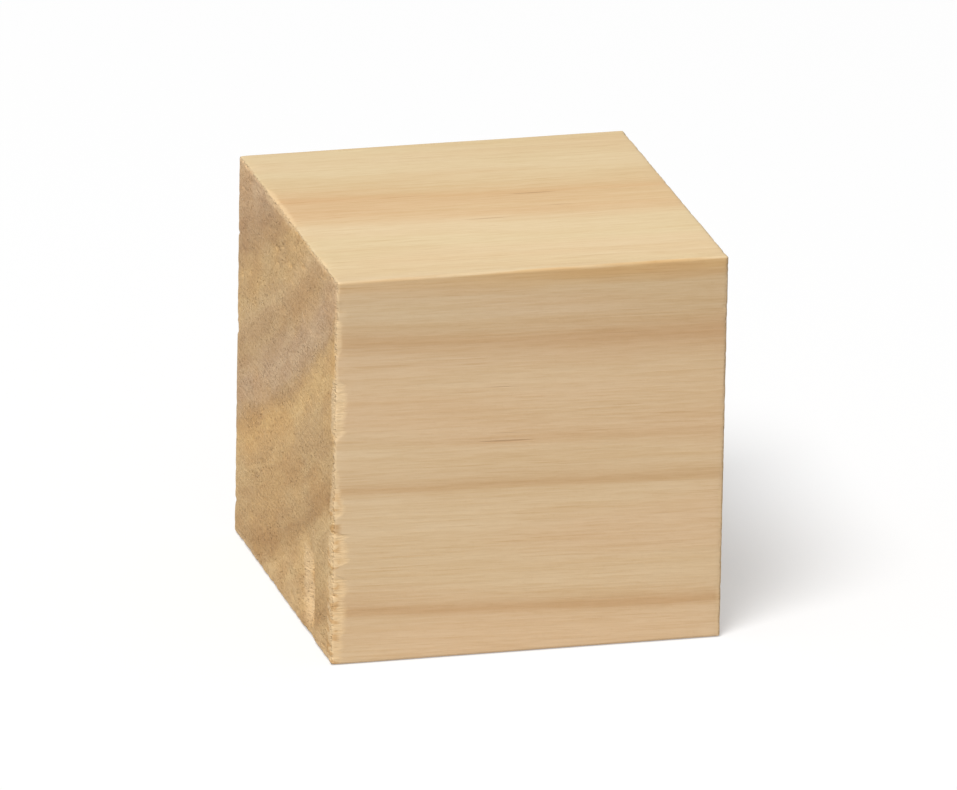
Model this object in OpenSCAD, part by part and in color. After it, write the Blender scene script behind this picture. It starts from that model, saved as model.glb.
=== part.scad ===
// A wooden cube: one solid block of softwood. Its four long faces are planed,
// its two ends are sawn across the grain, and all its arrises are eased.
// It stands on the middle of its bottom face, with +Z up and the grain along X.

/* [Block] */
// Side of the cube
side = 25.4; // [10:0.1:80]

/* [Arrises] */
// Radius of the four arrises that run with the grain
long_arris_r = 0.2; // [0.1:0.05:2]
// Radius of the eight arrises round the two sawn ends
end_arris_r = 0.25; // [0.1:0.05:2]

/* [Hidden] */
pine = [0.87, 0.74, 0.56];
$fn = 64;

// A square as wide as the block, with its four corners rounded
module eased_square(corner_r) {
    flat = side - 2 * corner_r;
    square([side, flat], center = true);
    square([flat, side], center = true);
    for (x = [-flat / 2, flat / 2], y = [-flat / 2, flat / 2])
        translate([x, y])
            circle(r = corner_r);
}

// The block centred on the origin, eased along the four arrises parallel to Z
module eased_block(arris_r) {
    linear_extrude(height = side, center = true)
        eased_square(arris_r);
}

// Each direction is eased by itself, so that arrises of unlike radius meet in
// crisp mitres at the eight corners, as they do when each is sanded in turn
module wooden_cube() {
    color(pine)
        translate([0, 0, side / 2])
            intersection() {
                rotate([0, 90, 0])
                    eased_block(long_arris_r);
                rotate([90, 0, 0])
                    eased_block(end_arris_r);
                eased_block(end_arris_r);
            }
}

wooden_cube();
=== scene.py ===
import itertools
import math
from types import SimpleNamespace

import bpy
import numpy as np
from mathutils import Matrix, Vector


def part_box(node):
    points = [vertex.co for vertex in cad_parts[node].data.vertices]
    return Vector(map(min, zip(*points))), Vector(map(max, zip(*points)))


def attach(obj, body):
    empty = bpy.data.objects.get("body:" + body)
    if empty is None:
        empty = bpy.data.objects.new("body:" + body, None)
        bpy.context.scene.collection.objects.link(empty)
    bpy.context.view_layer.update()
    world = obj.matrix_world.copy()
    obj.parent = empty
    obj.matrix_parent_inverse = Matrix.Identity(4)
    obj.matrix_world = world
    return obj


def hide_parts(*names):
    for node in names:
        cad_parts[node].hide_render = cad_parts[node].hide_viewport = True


# The looks of the wooden cube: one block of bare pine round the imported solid.
# Sizes are in millimetres, and the mesh is scaled to metres as it is made.
# X runs along the grain. The front planed face looks along -Y, and the two
# sawn ends look along -X and +X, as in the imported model.

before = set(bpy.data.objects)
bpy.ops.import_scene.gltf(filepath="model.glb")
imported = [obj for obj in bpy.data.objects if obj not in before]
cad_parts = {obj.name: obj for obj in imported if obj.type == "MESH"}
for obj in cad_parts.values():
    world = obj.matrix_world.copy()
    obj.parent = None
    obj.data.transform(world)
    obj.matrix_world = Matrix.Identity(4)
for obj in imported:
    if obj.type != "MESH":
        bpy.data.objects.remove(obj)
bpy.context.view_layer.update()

MM = 0.001
NODE = "wooden_cube"
CUBE_LOW, CUBE_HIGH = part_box(NODE)
SIDE = (CUBE_HIGH.x - CUBE_LOW.x) / MM
HALF = SIDE / 2

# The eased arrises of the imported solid
LONG_ARRIS_R = 0.2
END_ARRIS_R = 0.25

# The visual mesh: cells along the grain and across it, crowded at the arrises
CELLS_ALONG = 90
CELLS_ACROSS = 150
CROWDING = 0.8
TURN_BAND = 1.0  # wear turns from one face to the next within this band
HALVINGS = 30  # how often the way to the eased surface is halved to find it

# What the tools left: curved saw lines on the ends, knife ripple on the planed faces
SAW_PITCH = 1.15
SAW_SLANT = 0.16
SAW_CURVE = 0.004
SAW_STEP = 3.0  # how far the lines are moved, down on the right end and up on the left
KNIFE_PITCH = 1.7

# One map holds the six faces in a sheet of cells.
MAP_NAME = "OFBake"
MAP_COLUMNS = 3
MAP_ROWS = 2
MAP_MARGIN = 0.004

# The growth rings: the pith is a long way above and behind the cube
PITH_Y = 57.8
PITH_Z = 117.9
PITH_LEAN_Y = 0.0125  # how far the pith comes nearer along Y and Z for each mm of X
PITH_LEAN_Z = 0.0228
RING_ZERO = 110.0  # the distance from the pith that ring positions are counted from
RING_FIRST = -9.0
RING_LAST = 31.0

# Latewood on the planed faces, band by band: ring positions, and how dark it is
# there. Between two bands the wood is plain earlywood.
LATEWOOD = [
    [(-4.6, 0.0), (-3.2, 0.15), (-2.5, 0.33), (-2.2, 0.50), (-1.9, 0.31), (-0.4, 0.33), (0.9, 0.0)],
    [(8.8, 0.10), (9.4, 0.24), (9.9, 0.44), (10.15, 0.42), (10.6, 0.16), (11.4, 0.0)],
    [(14.9, 0.04), (15.3, 0.18), (15.7, 0.06)],
    [(16.6, 0.08), (17.4, 0.25), (17.9, 0.54), (18.03, 0.46), (18.2, 0.12), (18.9, 0.0)],
    [(23.5, 0.02), (24.3, 0.16), (24.72, 0.62), (24.88, 0.52), (25.1, 0.1), (25.8, 0.02)],
]

# The same rings on the sawn ends, where the saw smears them wider
SAWN_RINGS = [
    [(-4.0, 0.15), (-2.4, 0.55), (-0.8, 0.6), (0.5, 0.28), (1.6, 0.22)],
    [(3.4, 0.18), (5.0, 0.48), (6.0, 0.40), (7.4, 0.22)],
    [(8.3, 0.30), (9.3, 0.48), (9.8, 0.30), (10.4, 0.04), (11.6, 0.04)],
    [(12.8, 0.2), (14.2, 0.42), (16.4, 0.42), (17.6, 0.64), (18.2, 0.74), (18.7, 0.4), (19.5, 0.0)],
    [(22.4, 0.0), (23.2, 0.1), (24.1, 0.42), (24.5, 0.32), (25.2, 0.05)],
]

# Where the sawn ends are greyed
GREYED = [
    (-5.0, 0.9), (-2.5, 1.0), (-0.8, 0.5), (0.6, 0.0), (2.2, 0.0), (3.6, 0.35), (5.4, 0.35),
    (7.2, 1.0), (8.4, 0.9), (9.8, 0.2), (10.4, 0.0),
]

# Where they are yellower
YELLOWED = [(9.0, 0.0), (9.9, 0.9), (11.0, 1.0), (12.6, 0.0)]

# How torn the front left arris is at each height above the base
TORN_ARRIS = [
    (0.0, 0.7), (1.8, 0.75), (2.6, 1.0), (3.8, 0.95), (4.3, 0.7), (4.8, 1.0), (5.7, 1.0),
    (6.0, 0.1), (6.5, 0.1), (6.8, 1.0), (8.6, 1.0), (8.9, 0.05), (9.7, 0.1), (10.0, 0.7),
    (10.9, 0.8), (11.4, 0.6), (12.8, 0.5), (13.4, 0.1), (14.9, 0.1), (15.4, 0.8), (16.6, 1.0),
    (18.6, 0.9), (19.0, 0.2), (20.4, 0.2), (20.9, 0.55), (22.6, 0.5), (23.0, 0.15),
]

# The torn fibres are wider and warmer near the base: fully so below the first
# height, and no longer above the second
LOW_TORN = (9.0, 12.0)

# The right end can't be seen in the photograph: its arrises are worn by this share of
# what the left end's are
RIGHT_END_WEAR = 0.35

# Chips across the arrises: a point on the arris, counted from the middle of the
# cube, the way the cut faces, half its length along the arris, and its depth
CHIPS = [
    ((-HALF, -HALF, -3.3), (-1, -1, 0.1), 0.75, 0.24),
    ((-HALF, -HALF, -6.4), (-1, -0.8, -0.2), 0.55, 0.20),
    ((-HALF, -HALF, -4.9), (-1, -1, 0), 0.40, 0.10),
    ((-HALF, -HALF, 1.9), (-0.8, -1, 0), 0.60, 0.08),
    ((-HALF, -HALF, -9.8), (-1, -0.6, 0), 0.90, 0.10),
    ((-HALF, 6.1, HALF), (-1, 0, 0.7), 0.80, 0.12),
    ((-HALF, -1.6, HALF), (-1, 0, 0.8), 0.60, 0.09),
    ((-HALF, HALF, -4.5), (-1, 1, 0), 0.70, 0.14),
    ((HALF, HALF, -6.0), (1, 1, 0), 0.90, 0.20),
    ((HALF, -HALF, -7.2), (1, -1, 0.1), 0.50, 0.12),
    ((HALF, 4.2, HALF), (1, 0, 1), 0.55, 0.10),
    ((HALF, 2.0, -HALF), (1, 0, -0.7), 1.30, 0.22),
    ((3.6, HALF, HALF), (0, 1, 1), 1.40, 0.07),
    ((-6.5, -HALF, -HALF), (0, -1, -1), 1.60, 0.06),
    ((HALF, HALF, HALF), (1, 1, 1), 0.80, 0.16),
    ((-HALF, -HALF, -HALF), (-1, -1, -1), 0.70, 0.14),
]

# A shallow scoop torn out low on the left end, beside the front arris. Its
# middle is counted from the middle of the cube.
SCOOP_Y = -7.0
SCOOP_Z = -9.4
SCOOP_SLANT = 0.04  # how far it moves along Y for each mm of height
SCOOP_WIDTH = 0.95
SCOOP_REACH = 2.8
SCOOP_DEPTH = 0.5


def srgb(red, green, blue):
    """A colour written as it shows, from 0 to 255, as Blender's linear RGBA."""
    def linear(value):
        value /= 255
        return value / 12.92 if value <= 0.04045 else ((value + 0.055) / 1.055) ** 2.4
    return (linear(red), linear(green), linear(blue), 1.0)


# Colours of the dry wood, as they show in even light
INNER_WOOD = srgb(238, 217, 176)
MIDDLE_WOOD = srgb(232, 208, 170)
OUTER_WOOD = srgb(239, 211, 171)
INNER_LATEWOOD = srgb(222, 168, 108)
OUTER_LATEWOOD = srgb(208, 163, 110)
SAWN_LATEWOOD = srgb(196, 160, 118)
FUZZ_COLOUR = srgb(251, 219, 173)
CANAL_COLOUR = srgb(158, 104, 62)


# ---- noise on points, the same on every run -------------------------------

def lattice_value(cells, seed):
    """A number from -1 to 1 for each row of whole numbers, scattered by large factors."""
    mixed = cells[:, 0] * 73856093 ^ cells[:, 1] * 19349663 ^ cells[:, 2] * 83492791
    mixed = (mixed + seed * 374761393) & 0xFFFFFFFF
    mixed = ((mixed ^ (mixed >> 13)) * 1274126177) & 0xFFFFFFFF
    mixed = ((mixed ^ (mixed >> 16)) * 2246822519) & 0xFFFFFFFF
    return (mixed ^ (mixed >> 15)) / 0x7FFFFFFF - 1


def noise(points, size, seed):
    """Smooth noise from -1 to 1 at points, with blobs of size (x, y, z) millimetres."""
    places = points / np.array(size) + 1000.0
    cells = np.floor(places).astype(np.int64)
    share = places - cells
    share = share * share * (3 - 2 * share)
    total = np.zeros(len(points))
    for corner in itertools.product((0, 1), repeat=3):
        weight = np.prod(np.where(corner, share, 1 - share), axis=1)
        total += weight * lattice_value(cells + np.array(corner), seed)
    return total


def smoothstep(low, high, value):
    """0 below low, 1 above high, and a smooth rise between them."""
    share = np.clip((value - low) / (high - low), 0, 1)
    return share * share * (3 - 2 * share)


# ---- the block's mesh ------------------------------------------------------

def grid_lines(cells):
    """Where the grid lines of one edge lie, from -HALF to HALF."""
    share = np.linspace(-1, 1, cells + 1)
    return HALF * ((1 - CROWDING) * share + CROWDING * np.sin(share * math.pi / 2))


def rounded_square(across, up, radius):
    """Signed distance from the outline of a square of SIDE with rounded corners."""
    out_across = np.abs(across) - (HALF - radius)
    out_up = np.abs(up) - (HALF - radius)
    outside = np.hypot(np.maximum(out_across, 0), np.maximum(out_up, 0))
    return outside + np.minimum(np.maximum(out_across, out_up), 0) - radius


def outside_block(points):
    """Above 0 outside the eased block and below 0 inside it."""
    x, y, z = points.T
    along_grain = rounded_square(y, z, LONG_ARRIS_R)
    along_y = rounded_square(x, z, END_ARRIS_R)
    along_z = rounded_square(x, y, END_ARRIS_R)
    return np.maximum(along_grain, np.maximum(along_y, along_z))


def eased(points):
    """Draws points of the sharp block in to the eased one."""
    core = HALF - END_ARRIS_R
    inner = np.clip(points, -core, core)
    outward = points - inner
    low, high = np.zeros(len(points)), np.ones(len(points))
    for _ in range(HALVINGS):
        middle = (low + high) / 2
        beyond = outside_block(inner + outward * middle[:, None]) > 0
        high = np.where(beyond, middle, high)
        low = np.where(beyond, low, middle)
    return inner + outward * low[:, None]


def way_out(points):
    """Unit vectors out of the block, which turn gradually round each arris."""
    core = HALF - TURN_BAND
    out = points - np.clip(points, -core, core)
    return out / np.linalg.norm(out, axis=1)[:, None]


def sawn_relief(points):
    """How far the sawn ends sink in: saw lines, torn grain and pits."""
    y, z = points[:, 1], points[:, 2]
    end = np.sign(points[:, 0])
    sweep = z + SAW_SLANT * y + SAW_CURVE * y * y + SAW_STEP * end
    lines = 0.5 + 0.5 * np.sin(2 * math.pi * sweep / SAW_PITCH)
    patchy = 0.5 + 0.5 * noise(points, (9, 6, 6), 11)
    torn = 0.5 + 0.5 * noise(points, (0.8, 0.9, 0.6), 12)
    pits = smoothstep(0.5, 0.9, noise(points, (0.7, 0.7, 0.5), 13))
    return 0.022 * lines * patchy + 0.03 * torn + 0.12 * pits * patchy


def planed_relief(points):
    """How far the planed faces sink in: knife ripple and a slight waviness."""
    ripple = 0.5 + 0.5 * np.sin(2 * math.pi * points[:, 0] / KNIFE_PITCH)
    wave = 0.5 + 0.5 * noise(points, (14, 4, 4), 31)
    return 0.0012 * ripple + 0.016 * wave


def arris_relief(points, facing):
    """How far the arrises are worn and torn; facing is a point's share of each axis."""
    end_arris = 4 * facing[:, 0] * (1 - facing[:, 0])
    long_arris = 4 * facing[:, 1] * facing[:, 2]
    worn = 0.5 + 0.5 * noise(points, (1.2, 1.5, 1.5), 21)
    torn = smoothstep(0.2, 0.9, noise(points, (0.9, 0.36, 0.36), 22))
    splinters = smoothstep(0.4, 0.95, noise(points, (1.8, 0.32, 0.32), 23))
    rubbed = 0.5 + 0.5 * noise(points, (5.0, 1.0, 1.0), 24)
    sinking = end_arris ** 2 * (0.02 + 0.04 * worn + 0.08 * torn)
    sinking += end_arris * (1 - facing[:, 0]) * 0.07 * splinters
    sinking *= np.where(points[:, 0] < 0, 1.0, RIGHT_END_WEAR)
    return sinking + long_arris ** 2 * 0.025 * rubbed


def chips_relief(points):
    """How far the chips sink in: each is a ragged, nearly flat cut."""
    deepest = np.zeros(len(points))
    ragged = noise(points, (0.7, 0.22, 0.22), 41)
    for centre, facing, length, depth in CHIPS:
        normal = np.array(facing) / np.linalg.norm(facing)
        away = points - np.array(centre)
        above = away @ normal
        along = np.linalg.norm(away - above[:, None] * normal, axis=1) / length
        deepest = np.maximum(deepest, above + depth * (1 - along ** 2 + 0.3 * ragged))
    return deepest


def scoop_relief(points):
    """How far the scoop in the left end sinks in."""
    wander = 0.3 * noise(points, (2, 2, 1.3), 51)
    above = points[:, 2] - SCOOP_Z
    across = (points[:, 1] - SCOOP_Y - SCOOP_SLANT * above + wander) / SCOOP_WIDTH
    depth = SCOOP_DEPTH * (1 + 0.25 * noise(points, (2, 0.6, 0.8), 52))
    bowl = np.exp(-across ** 2 - (above / SCOOP_REACH) ** 4)
    return np.where(points[:, 0] < 0, depth * bowl, 0)


def block_points(lines):
    """The sharp block's surface points, and their numbers on a lattice of grid lines."""
    counts = [len(line) for line in lines]
    steps = np.indices(counts)
    on_shell = np.zeros(counts, bool)
    for step, count in zip(steps, counts):
        on_shell |= (step == 0) | (step == count - 1)
    numbers = np.full(counts, -1)
    numbers[on_shell] = np.arange(on_shell.sum())
    points = np.stack([line[step[on_shell]] for line, step in zip(lines, steps)], axis=1)
    return points, numbers


def block_quads(numbers):
    """The quads of the block's six faces, one array for each face, turned outwards."""
    faces = []
    for axis, end in itertools.product(range(3), (0, -1)):
        sheet = np.take(numbers, end, axis=axis)
        quads = np.stack([sheet[:-1, :-1], sheet[1:, :-1], sheet[1:, 1:], sheet[:-1, 1:]], axis=-1)
        quads = quads.reshape(-1, 4)
        # The two axes left over, in their order, turn the other way round Y than round X or Z
        outward = (end == -1) == (axis != 1)
        faces.append(quads if outward else quads[:, ::-1])
    return faces


def face_uvs(points, quads, face):
    """Where one face's corners lie on the map, in a cell of its own."""
    axis = face // 2
    across, up = {0: (1, 2), 1: (0, 2), 2: (0, 1)}[axis]
    corners = points[quads.ravel()][:, [across, up]] / SIDE + 0.5
    corners = MAP_MARGIN + corners * (1 - 2 * MAP_MARGIN)
    column, row = face % MAP_COLUMNS, face // MAP_COLUMNS
    return (corners + [column, row]) / [MAP_COLUMNS, MAP_ROWS]


def worn(points):
    """Sinks the eased block's points in by its wear, saw marks and chips."""
    outward = way_out(points)
    facing = outward ** 2
    sinking = facing[:, 0] * sawn_relief(points) + (1 - facing[:, 0]) * planed_relief(points)
    sinking += arris_relief(points, facing) + scoop_relief(points)
    sinking = np.maximum(sinking, chips_relief(points))
    return points - outward * sinking[:, None]


def pine_block():
    """The cube as one closed mesh standing on the floor."""
    lines = [grid_lines(CELLS_ALONG), grid_lines(CELLS_ACROSS), grid_lines(CELLS_ACROSS)]
    sharp, numbers = block_points(lines)
    placed = worn(eased(sharp)) + [0, 0, HALF]
    faces = block_quads(numbers)
    mesh = bpy.data.meshes.new("pine_block")
    mesh.from_pydata((placed * MM).tolist(), [], np.concatenate(faces).tolist())
    layer = mesh.uv_layers.new(name=MAP_NAME)
    uvs = [face_uvs(sharp, quads, face) for face, quads in enumerate(faces)]
    layer.data.foreach_set("uv", np.concatenate(uvs).ravel())
    mesh.polygons.foreach_set("use_smooth", [True] * len(mesh.polygons))
    mesh.update()
    block = bpy.data.objects.new("pine_block", mesh)
    bpy.context.scene.collection.objects.link(block)
    return block


# ---- nodes -----------------------------------------------------------------

class Shader:
    """Short ways to add nodes to one material."""

    def __init__(self, name):
        self.material = bpy.data.materials.new(name)
        self.material.use_nodes = True
        self.tree = self.material.node_tree
        self.surface = self.tree.nodes["Principled BSDF"]

    def add(self, kind, **settings):
        """A new node of this kind, with these settings."""
        node = self.tree.nodes.new(kind)
        for name, value in settings.items():
            setattr(node, name, value)
        return node

    def feed(self, socket, value):
        """Links value to socket if it is a socket, and sets it there if not."""
        if isinstance(value, bpy.types.NodeSocket):
            self.tree.links.new(value, socket)
        else:
            socket.default_value = value

    def math(self, operation, *values, clamp=False):
        """What a math node makes of the values."""
        node = self.add("ShaderNodeMath", operation=operation, use_clamp=clamp)
        for socket, value in zip(node.inputs, values):
            self.feed(socket, value)
        return node.outputs[0]

    def times(self, *values):
        """The product of all the values."""
        total = values[0]
        for value in values[1:]:
            total = self.math("MULTIPLY", total, value)
        return total

    def total(self, *terms):
        """The sum of terms, each a pair of (value, how much of it)."""
        added = 0.0
        for value, amount in terms:
            added = self.math("MULTIPLY_ADD", value, amount, added)
        return added

    def vector(self, operation, *values):
        """What a vector math node makes of the values."""
        node = self.add("ShaderNodeVectorMath", operation=operation)
        for socket, value in zip(node.inputs, values):
            self.feed(socket, value)
        return node.outputs[0]

    def join(self, x, y, z):
        """The vector of three numbers."""
        node = self.add("ShaderNodeCombineXYZ")
        for socket, value in zip(node.inputs, (x, y, z)):
            self.feed(socket, value)
        return node.outputs[0]

    def split(self, vector):
        """The three numbers of a vector."""
        node = self.add("ShaderNodeSeparateXYZ")
        self.feed(node.inputs[0], vector)
        return node.outputs

    def scaled(self, where, size, seed):
        """Coordinates for a pattern with blobs of size (x, y, z), moved by its seed."""
        smaller = self.vector("MULTIPLY", where, tuple(1 / length for length in size))
        return self.vector("ADD", smaller, (seed * 7.31, seed * 3.17, seed * 5.93))

    def noise(self, where, size, seed, detail=1.0, roughness=0.5):
        """Noise round 0.5 with blobs of size (x, y, z) in the units of where."""
        node = self.add("ShaderNodeTexNoise")
        self.feed(node.inputs["Vector"], self.scaled(where, size, seed))
        node.inputs["Scale"].default_value = 1.0
        node.inputs["Detail"].default_value = detail
        node.inputs["Roughness"].default_value = roughness
        return node.outputs["Fac"]

    def cells(self, where, size, seed):
        """Distance from the nearest of scattered points, and a random number for it."""
        node = self.add("ShaderNodeTexVoronoi")
        self.feed(node.inputs["Vector"], self.scaled(where, size, seed))
        node.inputs["Scale"].default_value = 1.0
        return node.outputs["Distance"], self.split(node.outputs["Color"])[0]

    def spread(self, value, low, high, to_low=0.0, to_high=1.0):
        """Maps low..high smoothly to to_low..to_high."""
        node = self.add("ShaderNodeMapRange", interpolation_type="SMOOTHSTEP")
        for socket, number in zip(node.inputs, (value, low, high, to_low, to_high)):
            self.feed(socket, number)
        return node.outputs[0]

    def ramp(self, value, low, high, stops):
        """A grey ramp of (place, grey) stops, whose places run from low to high."""
        node = self.add("ShaderNodeValToRGB")
        share = self.math("MULTIPLY_ADD", value, 1 / (high - low), -low / (high - low))
        self.feed(node.inputs[0], share)
        elements = node.color_ramp.elements
        while len(elements) < len(stops):
            elements.new(1.0)
        for element, (place, grey) in zip(elements, stops):
            element.position = (place - low) / (high - low)
            element.color = (grey, grey, grey, 1.0)
        return node.outputs[0]

    def mix(self, share, first, second, blend="MIX"):
        """Mixes two colours, which a mix node takes at sockets 6 and 7."""
        node = self.add("ShaderNodeMix", data_type="RGBA", blend_type=blend)
        self.feed(node.inputs[0], share)
        self.feed(node.inputs[6], first)
        self.feed(node.inputs[7], second)
        return node.outputs[2]

    def tint(self, colour, share, red, green, blue):
        """colour, multiplied by (red, green, blue) where share is 1."""
        return self.mix(share, colour, (red, green, blue, 1.0), blend="MULTIPLY")


# ---- the pine --------------------------------------------------------------

def grain_places(s):
    """Where a point lies in the block and in the tree, in millimetres."""
    coordinates = s.add("ShaderNodeTexCoord").outputs["Object"]
    place = s.vector("MULTIPLY", coordinates, (1 / MM, 1 / MM, 1 / MM))
    x, y, z = s.split(place)
    to_pith_y = s.math("SUBTRACT", PITH_Y, s.math("MULTIPLY_ADD", x, PITH_LEAN_Y, y))
    to_pith_z = s.math("SUBTRACT", PITH_Z, s.math("MULTIPLY_ADD", x, PITH_LEAN_Z, z))
    squares = s.math("ADD", s.math("POWER", to_pith_y, 2.0), s.math("POWER", to_pith_z, 2.0))
    outwards = s.math("SUBTRACT", s.math("SQRT", squares), RING_ZERO)
    around = s.math("MULTIPLY", s.math("ARCTAN2", to_pith_y, to_pith_z), RING_ZERO)
    return place, s.join(x, around, outwards), outwards


def on_left_half(s, x):
    """1 on the left half of the block and 0 on the right, blended in the middle."""
    return s.spread(x, -1.0, 1.0, 1.0, 0.0)


def from_faces(s, place):
    """How far a point lies below the nearer sawn end, and below the nearest planed face."""
    x, y, z = s.split(place)
    from_end = s.math("SUBTRACT", HALF, s.math("ABSOLUTE", x))
    off_middle_z = s.math("ABSOLUTE", s.math("SUBTRACT", z, HALF))
    from_side = s.math("SUBTRACT", HALF, s.math("MAXIMUM", s.math("ABSOLUTE", y), off_middle_z))
    return from_end, from_side


def sawn_mask(s, place):
    """1 on the sawn ends and 0 on the planed faces, with a ragged edge between them."""
    from_end, from_side = from_faces(s, place)
    ragged = s.noise(place, (0.9, 0.2, 0.2), 61)
    lead = s.math("SUBTRACT", from_side, from_end)
    return s.spread(s.math("MULTIPLY_ADD", ragged, 0.5, lead), 0.15, 0.35)


def torn_share(s, place):
    """How torn the end arrises are: in patches, and by TORN_ARRIS at the front left."""
    x, y, z = s.split(place)
    on_left = on_left_half(s, x)
    patches = s.spread(s.noise(place, (30, 5.5, 5.5), 63), 0.36, 0.6, 0.0, 0.5)
    patches = s.times(patches, s.math("MULTIPLY_ADD", on_left, 0.6, 0.4))
    at_front_left = s.times(s.spread(y, 0.8 - HALF, 1.8 - HALF, 1.0, 0.0), on_left)
    return s.mix(at_front_left, patches, s.ramp(z, 0.0, SIDE, TORN_ARRIS))


def torn_fibres(s, place):
    """1 on the torn fibres beside the end arrises, which reach further in near the base."""
    z = s.split(place)[2]
    torn = torn_share(s, place)
    wide = s.noise(place, (2.5, 1.1, 1.1), 62)
    splinters = s.noise(place, (1.5, 0.3, 0.3), 64, detail=2)
    reach = s.math("ADD", s.total((wide, 0.45), (splinters, 0.2)), 0.17)
    reach = s.times(reach, s.math("MULTIPLY_ADD", torn, 1.25, 0.3))
    reach = s.times(reach, s.spread(z, *LOW_TORN, 1.25, 1.0))
    from_arris = s.math("MAXIMUM", *from_faces(s, place))
    fuzz = s.spread(s.math("DIVIDE", from_arris, reach), 0.65, 1.25, 1.0, 0.0)
    return s.times(fuzz, s.math("MULTIPLY_ADD", torn, 0.75, 0.25))


def torn_gaps(s, place):
    """Painted brown shade in the gaps where fibres are torn out of the left end, low beside the
    front arris.
    """
    x, y, z = s.split(place)
    gaps = s.spread(s.noise(place, (1.0, 1.1, 0.5), 66), 0.50, 0.60)
    beside_front = s.spread(y, 0.6 - HALF, 1.4 - HALF, 1.0, 0.0)
    on_end = s.spread(x, 0.3 - HALF, 0.7 - HALF, 1.0, 0.0)
    return s.times(gaps, beside_front, on_end, s.spread(z, 10.0, 12.5, 1.0, 0.0))


def dark_rim(s, place):
    """Painted shade: the darker strip low on the left end, between the scoop and the torn fibres,
    where torn facets face away from the light.
    """
    x, y, z = s.split(place)
    behind_fibres = s.spread(y, 0.9 - HALF, 1.8 - HALF)
    before_scoop = s.spread(y, 3.4 - HALF, 5.0 - HALF, 1.0, 0.0)
    low = s.times(s.spread(z, 1.0, 2.6), s.spread(z, 6.5, 9.5, 1.0, 0.0))
    return s.times(behind_fibres, before_scoop, low, on_left_half(s, x))


def ring_bands(s, place, in_tree, outwards):
    """A point's ring position, how dark the latewood is there on the planed faces and on
    the sawn ends, and how greyed and how yellowed the sawn ends are there."""
    wander = s.noise(place, (34, 8, 8), 1)
    waver = s.noise(place, (9, 1.2, 1.2), 2)
    frayed = s.noise(in_tree, (5, 0.3, 0.3), 3, detail=2)
    shift = s.total((wander, 0.9), (waver, 0.22), (frayed, 0.16))
    shift = s.math("SUBTRACT", shift, 0.64)  # each noise lies round a half
    ring = s.math("ADD", outwards, shift)
    planed = s.ramp(ring, RING_FIRST, RING_LAST, list(itertools.chain(*LATEWOOD)))
    smeared = s.math("MULTIPLY_ADD", s.noise(in_tree, (3, 2.6, 0.9), 4, detail=2), 1.6, -0.8)
    ring = s.math("ADD", ring, smeared)
    sawn = s.ramp(ring, RING_FIRST, RING_LAST, list(itertools.chain(*SAWN_RINGS)))
    greyed = s.ramp(ring, RING_FIRST, RING_LAST, GREYED)
    yellowed = s.ramp(ring, RING_FIRST, RING_LAST, YELLOWED)
    return ring, planed, sawn, greyed, yellowed


def arris_stain(s, place):
    """A warm dark line on the front face just below the top arris, stronger to the right."""
    x, y, z = s.split(place)
    ragged = s.noise(place, (7, 0.5, 0.5), 65)
    below = s.math("MULTIPLY_ADD", ragged, 0.6, s.math("SUBTRACT", SIDE - 0.3, z))
    line = s.times(s.spread(below, 0.0, 0.15), s.spread(below, 0.4, 1.7, 1.0, 0.0))
    on_front = s.spread(y, 0.05 - HALF, 0.25 - HALF, 1.0, 0.0)
    return s.times(line, on_front, s.spread(x, -9.0, 6.0, 0.5, 1.0))


def scoop_lit_and_shaded_sides(s, place):
    """The scoop in the left end: 1 on the side that faces the front, -1 on the other, for painted
    light on the one wall and painted shade on the other.
    """
    x, y, z = s.split(place)
    above = s.math("SUBTRACT", z, SCOOP_Z + HALF)
    across = s.math("SUBTRACT", s.math("MULTIPLY_ADD", above, -SCOOP_SLANT, y), SCOOP_Y)
    wander = s.noise(place, (2, 1.2, 0.8), 67, detail=2)
    across = s.math("MULTIPLY_ADD", s.math("SUBTRACT", wander, 0.5), 1.2, across)
    across = s.math("DIVIDE", across, SCOOP_WIDTH)
    up = s.math("DIVIDE", above, SCOOP_REACH)
    along = s.math("SUBTRACT", 1.0, s.math("POWER", up, 4.0), clamp=True)
    away = s.spread(s.math("ABSOLUTE", across), 0.9, 1.8, 1.0, 0.0)
    side = s.spread(across, -0.6, 0.6, -1.0, 1.0)
    return s.times(along, away, side, on_left_half(s, x))


def warmer_end(s, g):
    """The middle rings turn a little darker and warmer towards the right end."""
    x = s.split(g.place)[0]
    in_middle = s.times(s.spread(g.ring, 5.5, 7.0), s.spread(g.ring, 14.0, 17.5, 1.0, 0.0))
    return s.times(in_middle, s.spread(x, -8.0, 14.0))


def canals(s, in_tree):
    """The resin canals: long thin dashes along the grain, dots on the ends."""
    distance, strength = s.cells(in_tree, (22, 0.7, 0.7), 9)
    return s.times(s.spread(distance, 0.05, 0.11, 1.0, 0.0), s.spread(strength, 0.35, 1.0))


def grain_figure(s, g, in_tree):
    """Adds to g the uneven colour, and the figure along the grain from coarse to fine."""
    g.blotches = s.noise(in_tree, (18, 7, 5), 15)
    g.hues = s.noise(in_tree, (24, 5, 4), 16)
    g.growth = s.noise(in_tree, (80, 30, 0.45), 11, detail=2)
    g.strands = s.noise(in_tree, (22, 0.6, 0.6), 12)
    g.fibres = s.noise(in_tree, (7, 0.18, 0.18), 13, detail=2)
    g.cells = s.noise(in_tree, (1.4, 0.075, 0.075), 14)
    g.hairs = s.times(
        s.spread(s.noise(in_tree, (6, 0.1, 0.1), 25, detail=1), 0.60, 0.74),
        s.spread(s.noise(in_tree, (20, 2.5, 1.6), 26), 0.35, 0.65, 0.25, 1.0),
    )
    g.canals = canals(s, in_tree)
    g.rays = s.noise(in_tree, (0.32, 0.11, 3.2), 17)


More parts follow.
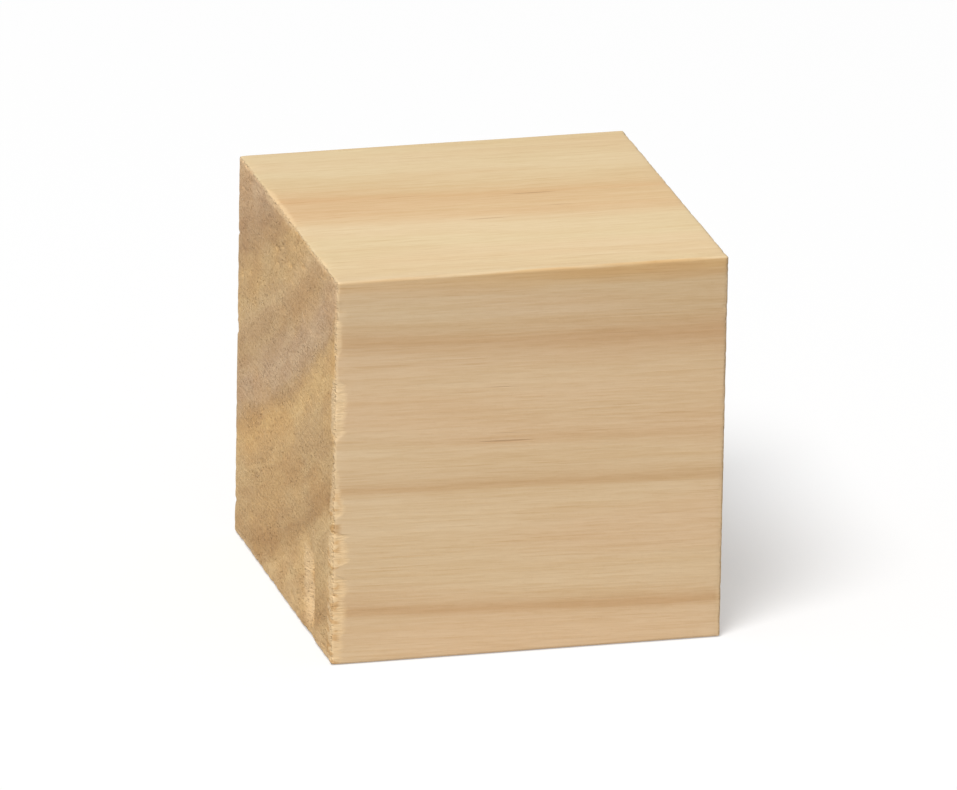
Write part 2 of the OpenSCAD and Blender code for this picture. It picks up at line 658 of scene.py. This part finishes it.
def saw_figure(s, g, in_tree):
    """Adds to g what the saw left on the ends."""
    g.crumbs = s.noise(g.place, (0.32, 0.3, 0.26), 18, detail=3, roughness=0.6)
    g.grit = s.noise(g.place, (0.3, 0.12, 0.12), 22)
    g.ticks = s.noise(g.place, (1.8, 0.10, 0.10), 23)
    g.scratches = s.noise(g.place, (9, 9, 0.13), 19)
    g.mottle = s.noise(in_tree, (9, 5, 1.1), 20, detail=2)
    g.pits = s.times(
        s.spread(s.noise(in_tree, (0.6, 0.2, 0.14), 21, detail=2), 0.58, 0.76),
        s.spread(s.noise(in_tree, (6, 2.6, 1.2), 24), 0.36, 0.62),
    )


def grain_fields(s):
    """All the patterns of the wood, and the masks of painted light and shade, by name."""
    g = SimpleNamespace()
    g.place, in_tree, outwards = grain_places(s)
    g.end = sawn_mask(s, g.place)
    g.fuzz = torn_fibres(s, g.place)
    g.gaps = torn_gaps(s, g.place)
    g.rim = dark_rim(s, g.place)
    g.scoop = scoop_lit_and_shaded_sides(s, g.place)
    g.stain = arris_stain(s, g.place)
    bands = ring_bands(s, g.place, in_tree, outwards)
    g.ring, g.latewood, g.sawn_rings, g.greyed, g.yellowed = bands
    g.middle = s.spread(g.ring, 5.0, 7.5)
    g.outer = s.spread(g.ring, 8.5, 13.0)
    g.warmer = warmer_end(s, g)
    grain_figure(s, g, in_tree)
    saw_figure(s, g, in_tree)
    return g


def planed_colour(s, g):
    """The colour of the planed wood: its rings, then a tint for each finer pattern."""
    colour = s.mix(g.outer, s.mix(g.middle, INNER_WOOD, MIDDLE_WOOD), OUTER_WOOD)
    colour = s.mix(g.latewood, colour, s.mix(g.middle, INNER_LATEWOOD, OUTER_LATEWOOD))
    oldest = s.spread(g.ring, -5.5, 1.5, 1.0, 0.0)
    colour = s.tint(colour, oldest, 0.962, 0.947, 0.937)
    colour = s.tint(colour, g.warmer, 0.950, 0.905, 0.865)
    colour = s.tint(colour, s.spread(g.growth, 0.35, 0.75), 0.982, 0.963, 0.932)
    colour = s.tint(colour, s.spread(g.blotches, 0.35, 0.7), 0.975, 0.96, 0.935)
    colour = s.tint(colour, s.spread(g.hues, 0.4, 0.7), 1.0, 0.965, 0.965)
    colour = s.tint(colour, s.spread(g.strands, 0.4, 0.75), 0.98, 0.964, 0.94)
    colour = s.tint(colour, s.spread(g.fibres, 0.38, 0.66), 0.962, 0.94, 0.904)
    colour = s.tint(colour, s.spread(g.cells, 0.42, 0.62), 0.968, 0.952, 0.924)
    colour = s.tint(colour, g.hairs, 0.92, 0.875, 0.81)
    colour = s.tint(colour, s.spread(g.rays, 0.55, 0.75), 0.985, 0.975, 0.96)
    # A warm dark line just below the top arris of the front face
    colour = s.tint(colour, g.stain, 0.925, 0.785, 0.61)
    return s.mix(s.math("MULTIPLY", g.canals, 0.5), colour, CANAL_COLOUR)


def sawn_colour(s, g):
    """The colour of the sawn ends: warmer, darker and blotchier, with painted shade on a strip low
    beside the front arris, and pale torn wood in the scoop with painted light on its wall that
    faces the front and painted shade on its other wall.
    """
    rings = s.total((g.sawn_rings, 0.85), (g.latewood, 0.2))
    colour = s.mix(rings, OUTER_WOOD, SAWN_LATEWOOD)
    colour = s.tint(colour, 1.0, 1.025, 0.96, 0.79)
    colour = s.tint(colour, g.greyed, 0.965, 0.985, 1.19)
    colour = s.tint(colour, g.yellowed, 1.03, 0.99, 0.90)
    # Painted shade on the strip of torn facets low on the left end
    colour = s.tint(colour, g.rim, 0.90, 0.89, 0.87)
    colour = s.tint(colour, s.spread(g.mottle, 0.42, 0.60), 0.92, 0.89, 0.88)
    colour = s.tint(colour, s.spread(g.hues, 0.4, 0.65), 1.0, 0.955, 0.89)
    colour = s.tint(colour, s.spread(g.rays, 0.5, 0.7), 1.03, 1.04, 1.05)
    colour = s.tint(colour, s.spread(g.crumbs, 0.48, 0.7), 0.84, 0.79, 0.73)
    colour = s.tint(colour, s.spread(g.crumbs, 0.3, 0.46, 1.0, 0.0), 1.05, 1.06, 1.08)
    colour = s.tint(colour, s.spread(g.grit, 0.45, 0.7), 0.90, 0.87, 0.83)
    colour = s.tint(colour, s.spread(g.scratches, 0.5, 0.75), 0.95, 0.94, 0.92)
    # The pits are darker: partly dirt in them, partly painted shade
    colour = s.tint(colour, g.pits, 0.78, 0.69, 0.60)
    # Painted light on the scoop's wall that faces the front, over its pale torn wood, and painted
    # shade on its other wall
    scoop_pale_and_lit = s.math("MULTIPLY", g.scoop, 0.62, clamp=True)
    scoop_painted_shade = s.math("MULTIPLY", g.scoop, -1.0, clamp=True)
    colour = s.mix(scoop_pale_and_lit, colour, FUZZ_COLOUR)
    colour = s.tint(colour, scoop_painted_shade, 0.92, 0.90, 0.88)
    return s.mix(s.math("MULTIPLY", g.canals, 0.5), colour, CANAL_COLOUR)


def torn_colour(s, g):
    """The pale torn fibres along the end arrises, warmer near the base."""
    z = s.split(g.place)[2]
    colour = s.tint(FUZZ_COLOUR, s.spread(g.ticks, 0.42, 0.62), 0.93, 0.90, 0.85)
    return s.tint(colour, s.spread(z, *LOW_TORN, 1.0, 0.0), 1.0, 0.98, 0.94)


def pine_height(s, g):
    """The height of the fine relief in millimetres."""
    planed = s.total((g.fibres, 0.010), (g.cells, 0.004), (g.strands, 0.006), (g.canals, -0.02))
    sawn = s.total(
        (g.crumbs, -0.10), (g.grit, -0.03), (g.scratches, 0.03), (g.rays, 0.01), (g.pits, -0.08)
    )
    torn = s.total((g.ticks, -0.035), (g.crumbs, -0.04))
    on_sides = s.times(planed, s.math("SUBTRACT", 1.0, g.end))
    return s.total((on_sides, 1.0), (s.times(sawn, g.end), 1.0), (s.times(torn, g.fuzz), 1.0))


def pine():
    """Bare pine: rings, fibres, resin canals and rays, planed and sawn."""
    s = Shader("pine")
    g = grain_fields(s)
    colour = s.mix(g.end, planed_colour(s, g), sawn_colour(s, g))
    colour = s.mix(s.math("MULTIPLY", g.fuzz, 0.92), colour, torn_colour(s, g))
    # Painted shade in the gaps of the torn fibres
    colour = s.tint(colour, g.gaps, 0.84, 0.74, 0.62)
    s.feed(s.surface.inputs["Base Color"], colour)

    rough = s.total((g.latewood, -0.08), (g.fibres, 0.10), (g.end, 0.2), (g.fuzz, 0.15))
    s.feed(s.surface.inputs["Roughness"], s.math("ADD", rough, 0.62, clamp=True))
    s.surface.inputs["Specular IOR Level"].default_value = 0.35

    bump = s.add("ShaderNodeBump")
    bump.inputs["Strength"].default_value = 1.0
    bump.inputs["Distance"].default_value = MM
    s.feed(bump.inputs["Height"], pine_height(s, g))
    s.feed(s.surface.inputs["Normal"], bump.outputs[0])
    return s.material


# ---- camera, light and floor -----------------------------------------------

MIDDLE = Vector((0, 0, HALF * MM))

CAMERA_AZIMUTH = -14.96
CAMERA_ELEVATION = 19.4
CAMERA_ROLL = 1.06
CAMERA_DISTANCE = 1.06
CAMERA_LENS = 630.0
CAMERA_SENSOR = 36.0

WORLD_LIGHT = 0.32
KEY_PLACE = (-1.13, -1.3, 2.96)
KEY_SIZE = 1.5
KEY_POWER = 97.0
FLOOR_REACH = 6.0
FLOOR_GAP = 0.00002
FLOOR_COLOUR = 0.6
FLOOR_LIFT = 0.4  # how much whiter the floor looks than the light makes it


def add_camera():
    """The photograph's view of the cube: a long lens from the front left, a little rolled."""
    azimuth, elevation = math.radians(CAMERA_AZIMUTH), math.radians(CAMERA_ELEVATION)
    level = math.cos(elevation)
    back = Vector((math.sin(azimuth) * level, -math.cos(azimuth) * level, math.sin(elevation)))
    data = bpy.data.cameras.new("camera")
    data.lens = CAMERA_LENS
    data.sensor_width = CAMERA_SENSOR
    data.clip_end = 2 * FLOOR_REACH
    camera = bpy.data.objects.new("camera", data)
    roll = Matrix.Rotation(math.radians(CAMERA_ROLL), 4, "Z")
    turn = back.to_track_quat("Z", "Y").to_matrix().to_4x4() @ roll
    camera.matrix_world = Matrix.Translation(MIDDLE + back * CAMERA_DISTANCE) @ turn
    bpy.context.scene.collection.objects.link(camera)
    bpy.context.scene.camera = camera


def add_lamp(name, place, size, power):
    """A round soft lamp aimed at the cube."""
    data = bpy.data.lights.new(name, "AREA")
    data.shape = "DISK"
    data.size = size
    data.energy = power
    lamp = bpy.data.objects.new(name, data)
    lamp.location = place
    lamp.rotation_euler = (MIDDLE - Vector(place)).to_track_quat("-Z", "Y").to_euler()
    bpy.context.scene.collection.objects.link(lamp)


def floor_material():
    """Matt white, lifted for the camera and for reflections so that it shows as white."""
    s = Shader("floor")
    s.surface.inputs["Base Color"].default_value = (FLOOR_COLOUR, FLOOR_COLOUR, FLOOR_COLOUR, 1)
    s.surface.inputs["Roughness"].default_value = 0.9
    s.surface.inputs["Specular IOR Level"].default_value = 0.0
    path = s.add("ShaderNodeLightPath").outputs
    seen = s.math("MAXIMUM", path["Is Camera Ray"], path["Is Glossy Ray"])
    seen = s.math("MAXIMUM", seen, path["Is Transmission Ray"])
    s.surface.inputs["Emission Color"].default_value = (1, 1, 1, 1)
    s.feed(s.surface.inputs["Emission Strength"], s.math("MULTIPLY", seen, FLOOR_LIFT))
    return s.material


def add_floor():
    """A wide plain floor just under the cube."""
    mesh = bpy.data.meshes.new("floor")
    corners = [(-1, -1), (1, -1), (1, 1), (-1, 1)]
    points = [(x * FLOOR_REACH, y * FLOOR_REACH, 0) for x, y in corners]
    mesh.from_pydata(points, [], [(0, 1, 2, 3)])
    floor = bpy.data.objects.new("floor", mesh)
    floor.location.z = -FLOOR_GAP
    bpy.context.scene.collection.objects.link(floor)
    floor.data.materials.append(floor_material())


def add_world():
    """Even white light from all round."""
    world = bpy.data.worlds.new("world")
    world.use_nodes = True
    world.node_tree.nodes["Background"].inputs["Color"].default_value = (1, 1, 1, 1)
    world.node_tree.nodes["Background"].inputs["Strength"].default_value = WORLD_LIGHT
    bpy.context.scene.world = world


add_camera()
add_floor()
add_world()
add_lamp("key", KEY_PLACE, KEY_SIZE, KEY_POWER)

block = pine_block()
block.data.materials.append(pine())
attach(block, "root")
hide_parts(NODE)

bpy.context.scene.view_settings.view_transform = "Standard"
